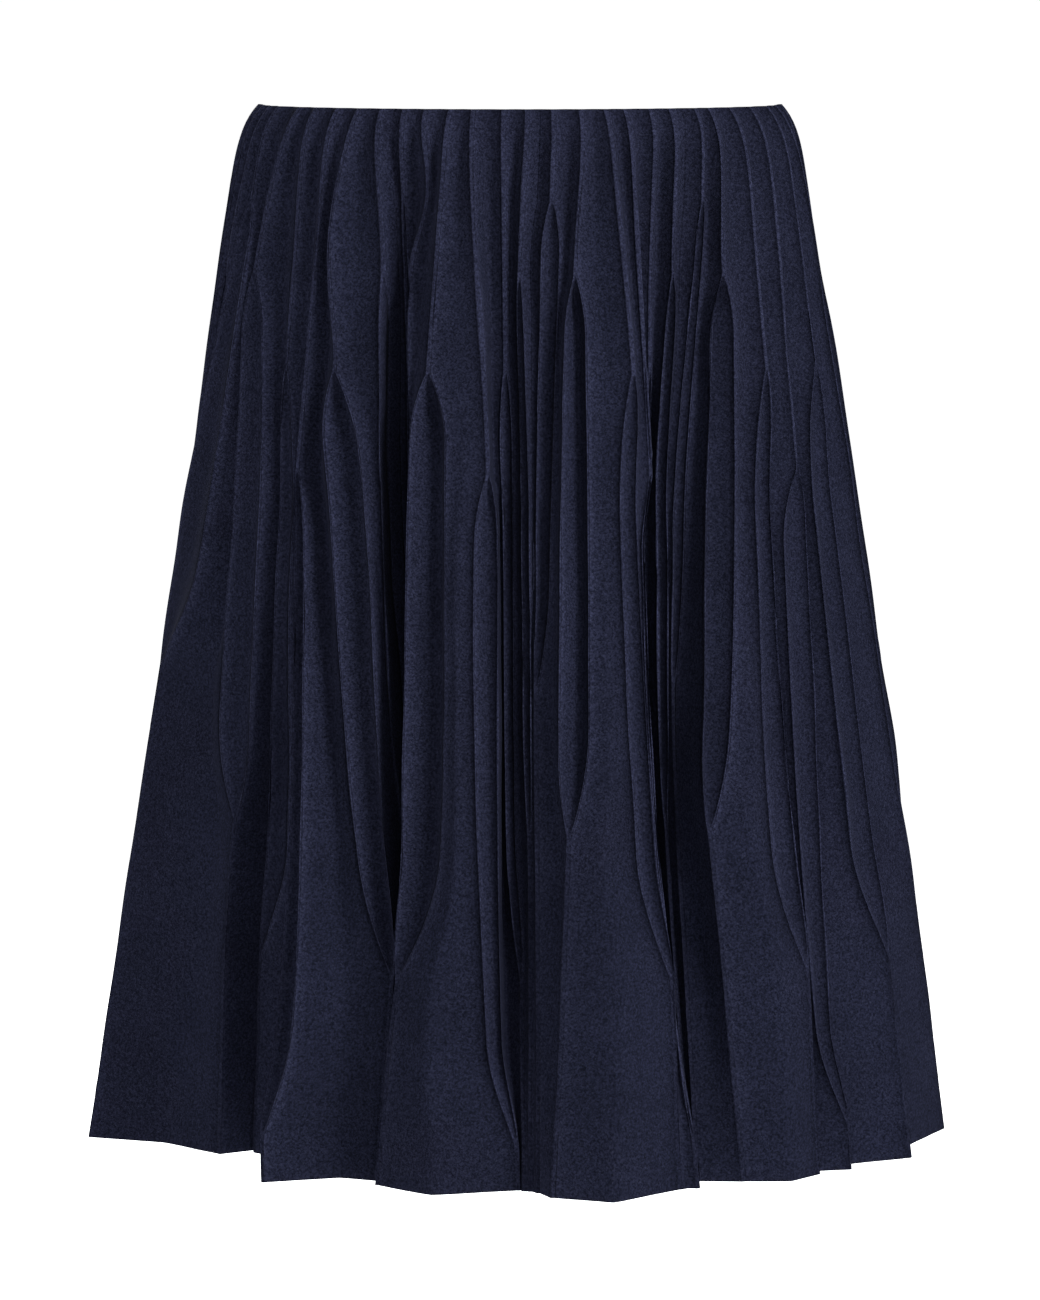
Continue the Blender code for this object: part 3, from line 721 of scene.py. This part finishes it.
def gore_piece(name, gore, surface, shape, material):
    """One gore as a fine sheet of wool: the piece, its flat width and length, its flat area."""
    level, points, marks, share = surface
    columns = gore_columns(gore, points.shape[1])
    cut = points[:, columns]
    runs = np.linalg.norm(np.diff(cut, axis=1), axis=-1)
    arc = np.concatenate((np.zeros((len(level), 1)), np.cumsum(runs, axis=1)), axis=1)
    solid = np.concatenate((cut, heights(shape, cut, level)[..., None]), axis=-1)
    mesh, across, down = cloth_grid(name, len(columns), len(level))
    mesh.vertices.foreach_set("co", solid[down, across].ravel())
    marks = {label: values[:, columns][down, across] for label, values in marks.items()}
    mark_cloth(mesh, marks, np.stack((arc[down, across], -level[down]), axis=-1))
    mesh.polygons.foreach_set("use_smooth", np.ones(len(mesh.polygons), dtype=bool))
    mesh.materials.append(material)
    mesh.update()
    piece = bpy.data.objects.new(name, mesh)
    bpy.context.scene.collection.objects.link(piece)
    thicken(piece, shape.wall, share[:, columns][down, across])
    slant = np.linalg.norm(np.diff(solid, axis=0), axis=-1)
    areas = (runs[:-1] + runs[1:]) / 2 * (slant[:, :-1] + slant[:, 1:]) / 2
    flat_width = float(arc[-1, -1])
    flat_length = float(np.median(slant.sum(axis=0)))
    return piece, (flat_width, flat_length), min(float(areas.sum()), flat_width * flat_length)


def add_gores(operator, context, names, first):
    """Build a run of gores, each standing for its own node of the frame."""
    scene = context.scene
    shape = scene.skirt_shape
    surface = skirt_surface(shape)
    material = wool_flannel(scene.skirt_wool)
    for k, name in enumerate(names):
        piece, flat, area = gore_piece(name + "_cloth", first + k, surface, shape, material)
        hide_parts(name)
        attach(piece, "root")
        operator.report({"INFO"}, "%s cut %.3f x %.3f m, %.4f m2" % (name, *flat, area))


# ---------------------------------------------------------------------------------- materials
def node(tree, kind, x, y, sockets, **settings):
    """Add a shader node.

    Its properties are set by name and its sockets by number or label.  A socket takes a value, or
    the output of another node, which is linked to it.
    """
    made = tree.nodes.new("ShaderNode" + kind)
    made.location = (x, y)
    for key, value in settings.items():
        setattr(made, key, value)
    for socket, content in sockets.items():
        if isinstance(content, bpy.types.NodeSocket):
            tree.links.new(content, made.inputs[socket])
        else:
            made.inputs[socket].default_value = content
    return made


def noise(tree, x, y, place, grain):
    """Noise of this grain over the cloth."""
    return node(tree, "TexNoise", x, y, {"Vector": place, **grain}).outputs["Fac"]


def stretched(tree, x, y, value, limits):
    """The value, stretched from one span to another."""
    return node(tree, "MapRange", x, y, {"Value": value, **limits}).outputs["Result"]


def worked_out(tree, x, y, operation, *terms):
    """Result of the operation on these terms, which are numbers or outputs."""
    return node(tree, "Math", x, y, dict(enumerate(terms)), operation=operation).outputs["Value"]


def mixed(tree, x, y, share, first, second):
    """The second colour over the first, by this share."""
    return node(tree, "Mix", x, y, {"Factor": share, 6: first, 7: second},
                data_type="RGBA").outputs[2]


def tone_curve(tree, x, y, place, stops):
    """Smooth curve through (mm from the nearest edge, tone)."""
    curve = node(tree, "ValToRGB", x, y, {"Fac": place})
    ramp = curve.color_ramp
    ramp.interpolation = "EASE"
    while len(ramp.elements) < len(stops):
        ramp.elements.new(.5)
    for element, (distance, tone) in zip(ramp.elements, stops):
        element.position = distance / SEAM_REACH
        element.color = (tone, tone, tone, 1)
    return curve.outputs["Color"]


def rgba(colour):
    """The colour with full opacity."""
    return (colour[0], colour[1], colour[2], 1.0)


def new_material(name, finish):
    """A material with this finish, and its tree and shader."""
    material = bpy.data.materials.new(name)
    material.use_nodes = True
    shader = material.node_tree.nodes["Principled BSDF"]
    for socket, value in finish.items():
        shader.inputs[socket].default_value = value
    return material, material.node_tree, shader


def wool_flannel(look):
    """Milled navy flannel: a dark melange with a felted nap, a painted highlight along the seamed
    edges and painted light and shade beside them.
    """
    material = bpy.data.materials.get("navy_wool_flannel")
    if material:
        return material
    material, tree, shader = new_material(
        "navy_wool_flannel", {**WOOL_FINISH, "Sheen Weight": look.sheen})
    place = node(tree, "TexCoord", -1500, 0, {}).outputs["Object"]
    fibres = noise(tree, -1250, 300, place, FIBRES)
    clumps = noise(tree, -1250, 60, place, CLUMPS)
    clouds = noise(tree, -1250, -180, place, CLOUDS)
    flecks = noise(tree, -1250, 540, place, FLECKS)

    dark = mixed(tree, -760, 300, stretched(tree, -1000, 300, fibres, FIBRE_MIX),
                 rgba(look.dark_fibre), rgba(look.navy))
    melange = mixed(tree, -540, 360, stretched(tree, -1000, 520, flecks, FLECK_MIX),
                    dark, rgba(look.pale_fibre))
    tone = worked_out(tree, -540, 0, "MULTIPLY", stretched(tree, -760, 60, clumps, CLUMP_TONE),
                      stretched(tree, -760, -180, clouds, CLOUD_TONE))
    # painted highlight and painted shade beside the seams, multiplied into the colour and also used
    # for the edges' relief
    seams = seam_highlight_and_shade(tree, look)
    tone_and_shading = worked_out(tree, -340, 0, "MULTIPLY", tone, seams)
    coloured = node(tree, "VectorMath", -160, 300, {0: melange, "Scale": tone_and_shading},
                    operation="SCALE")
    tree.links.new(coloured.outputs["Vector"], shader.inputs["Base Color"])

    felt = worked_out(tree, -340, -300, "ADD",
                      worked_out(tree, -540, -300, "MULTIPLY", fibres, FIBRE_HEIGHT), clumps)
    nap_bump = node(tree, "Bump", -160, -260,
                    {"Strength": NAP_BUMP, "Distance": look.nap, "Height": felt})
    seam_bump = node(tree, "Bump", 20, -260,
                     {"Strength": SEAM_BUMP, "Distance": look.seam_relief, "Height": seams,
                      "Normal": nap_bump.outputs["Normal"]})
    tree.links.new(seam_bump.outputs["Normal"], shader.inputs["Normal"])
    return material


def seam_highlight_and_shade(tree, look):
    """Painted highlight along each edge, painted shade to its left and painted light to its right;
    the same tone also raises the edges' relief.
    """
    marks = (("seam", -1750, -560), ("seam_on", -1000, -960), ("seam_side", -1250, -960))
    distance, strength, side = [
        node(tree, "Attribute", x, y, {}, attribute_name=label).outputs["Fac"]
        for label, x, y in marks]
    place = stretched(tree, -1500, -560, distance, {"From Max": SEAM_REACH})
    line = tone_curve(tree, -1250, -480, place, SEAM_HIGHLIGHT)
    painted_shading = tone_curve(tree, -1250, -720, place, SEAM_PAINTED_SHADING)
    shading_strength = stretched(tree, -830, -960, strength,
                       {"To Min": look.edge_shading_below_seams * look.painted_edge_shading,
                        "To Max": look.painted_edge_shading})
    # painted light to the right of each edge, painted shade to the left of the next
    slant = worked_out(tree, -1000, -700, "MULTIPLY", painted_shading, side)
    shaded_tone = worked_out(tree, -660, -700, "MULTIPLY_ADD", slant, shading_strength, 1)
    highlight_strength = worked_out(tree, -660, -500, "MULTIPLY", strength, look.seam_highlight)
    return worked_out(tree, -490, -600, "MULTIPLY_ADD", line, highlight_strength, shaded_tone)


def pale_floor(look):
    """Matt pale floor whose own light keeps it as pale far away as near the skirt."""
    material, tree, shader = new_material("pale_floor", {
        "Base Color": rgba(look.floor_colour), "Roughness": FLOOR_ROUGHNESS,
        "Emission Color": rgba(look.floor_colour)})
    place = node(tree, "TexCoord", -800, 0, {}).outputs["Object"]
    reach = node(tree, "VectorMath", -600, 0, {0: place}, operation="LENGTH").outputs["Value"]
    glow = stretched(tree, -400, 0, reach, {
        "From Min": look.near_reach, "From Max": look.far_reach,
        "To Min": look.floor_glow, "To Max": look.far_glow})
    tree.links.new(glow, shader.inputs["Emission Strength"])
    return material


# ---------------------------------------------------------------------------------- operators
class SKIRT_OT_front_gores(Operator):
    """Cut and hang the four front gores"""
    bl_idname = "skirt.front_gores"
    bl_label = "Front gores"

    def execute(self, context):
        names = ["gore_front_%d" % (k + 1) for k in range(FRONT_GORES)]
        add_gores(self, context, names, 0)
        return {"FINISHED"}


class SKIRT_OT_back_gores(Operator):
    """Cut and hang the six back gores"""
    bl_idname = "skirt.back_gores"
    bl_label = "Back gores"

    def execute(self, context):
        names = ["gore_back_%d" % (k + 1) for k in range(BACK_GORES)]
        add_gores(self, context, names, FRONT_GORES)
        return {"FINISHED"}


class SKIRT_OT_studio(Operator):
    """Set up the pale floor, the soft lights and the camera"""
    bl_idname = "skirt.studio"
    bl_label = "Studio"

    def execute(self, context):
        scene = context.scene
        look = scene.skirt_studio
        self.floor(scene, look)
        self.surround(scene, look)
        for name, around, above, width, power in SOFT_LIGHTS:
            self.soft_light(scene, name, around, above, width, getattr(look, power))
        self.camera(scene, look)
        scene.view_settings.view_transform = "Standard"
        return {"FINISHED"}

    @staticmethod
    def floor(scene, look):
        """Wide floor below the hem."""
        bm = bmesh.new()
        bmesh.ops.create_grid(bm, x_segments=FLOOR_CELLS, y_segments=FLOOR_CELLS,
                              size=FLOOR_HALF_WIDTH)
        bmesh.ops.translate(bm, vec=(0, 0, -scene.skirt_shape.length - look.floor_drop),
                            verts=bm.verts)
        mesh = bpy.data.meshes.new("studio_floor")
        bm.to_mesh(mesh)
        bm.free()
        mesh.materials.append(pale_floor(look))
        floor = bpy.data.objects.new("studio_floor", mesh)
        scene.collection.objects.link(floor)

    @staticmethod
    def surround(scene, look):
        """Weak white light from all round."""
        world = bpy.data.worlds.new("studio_surround")
        world.use_nodes = True
        background = world.node_tree.nodes["Background"]
        background.inputs["Color"].default_value = (1, 1, 1, 1)
        background.inputs["Strength"].default_value = look.surround
        scene.world = world

    @staticmethod
    def soft_light(scene, name, around, above, width, power):
        """Area light this many degrees round the skirt and this many above its middle."""
        lamp = bpy.data.lights.new(name, "AREA")
        lamp.energy = power
        lamp.size = width
        turn, rise = math.radians(around), math.radians(above)
        out = Vector((math.sin(turn) * math.cos(rise), -math.cos(turn) * math.cos(rise),
                      math.sin(rise)))
        middle = Vector((0, 0, -scene.skirt_shape.length / 2))
        light = bpy.data.objects.new(name, lamp)
        light.location = middle + out * LIGHT_DISTANCE
        light.rotation_euler = (-out).to_track_quat("-Z", "Y").to_euler()
        scene.collection.objects.link(light)

    @staticmethod
    def camera(scene, look):
        """Camera in front of the skirt, a little above its waist and tilted down."""
        lens = bpy.data.cameras.new("studio_camera")
        lens.sensor_fit = "HORIZONTAL"
        lens.sensor_width = SENSOR_WIDTH
        lens.lens = look.camera_lens
        lens.clip_end = CAMERA_REACH
        camera = bpy.data.objects.new("studio_camera", lens)
        camera.location = (0, -look.camera_distance, look.camera_height)
        camera.rotation_euler = (math.pi / 2 - look.camera_tilt, 0, 0)
        scene.collection.objects.link(camera)
        scene.camera = camera


class SKIRT_PT_sidebar(Panel):
    """The skirt's sizes, colours and building steps"""
    bl_idname = "SKIRT_PT_sidebar"
    bl_label = "Pleated skirt"
    bl_space_type = "VIEW_3D"
    bl_region_type = "UI"
    bl_category = "Skirt"

    def draw(self, context):
        """List every size, colour and step."""
        layout = self.layout
        for group in ("skirt_shape", "skirt_wool", "skirt_studio"):
            settings = getattr(context.scene, group)
            box = layout.box()
            for key in settings.bl_rna.properties.keys():
                if key not in ("rna_type", "name"):
                    box.prop(settings, key)
        for step in STEPS:
            layout.operator("skirt." + step)


STEPS = ("front_gores", "back_gores", "studio")
CLASSES = (SkirtShape, WoolLook, StudioLook, SKIRT_OT_front_gores, SKIRT_OT_back_gores,
           SKIRT_OT_studio, SKIRT_PT_sidebar)


def register():
    """Add the skirt's classes, and its settings to the scene."""
    for cls in CLASSES:
        bpy.utils.register_class(cls)
    bpy.types.Scene.skirt_shape = PointerProperty(type=SkirtShape)
    bpy.types.Scene.skirt_wool = PointerProperty(type=WoolLook)
    bpy.types.Scene.skirt_studio = PointerProperty(type=StudioLook)


def unregister():
    """Take out what register added, in reverse."""
    del bpy.types.Scene.skirt_studio
    del bpy.types.Scene.skirt_wool
    del bpy.types.Scene.skirt_shape
    for cls in reversed(CLASSES):
        bpy.utils.unregister_class(cls)


def main():
    """Build the skirt and its studio."""
    register()
    for step in STEPS:
        getattr(bpy.ops.skirt, step)()


if __name__ == "__main__":
    main()
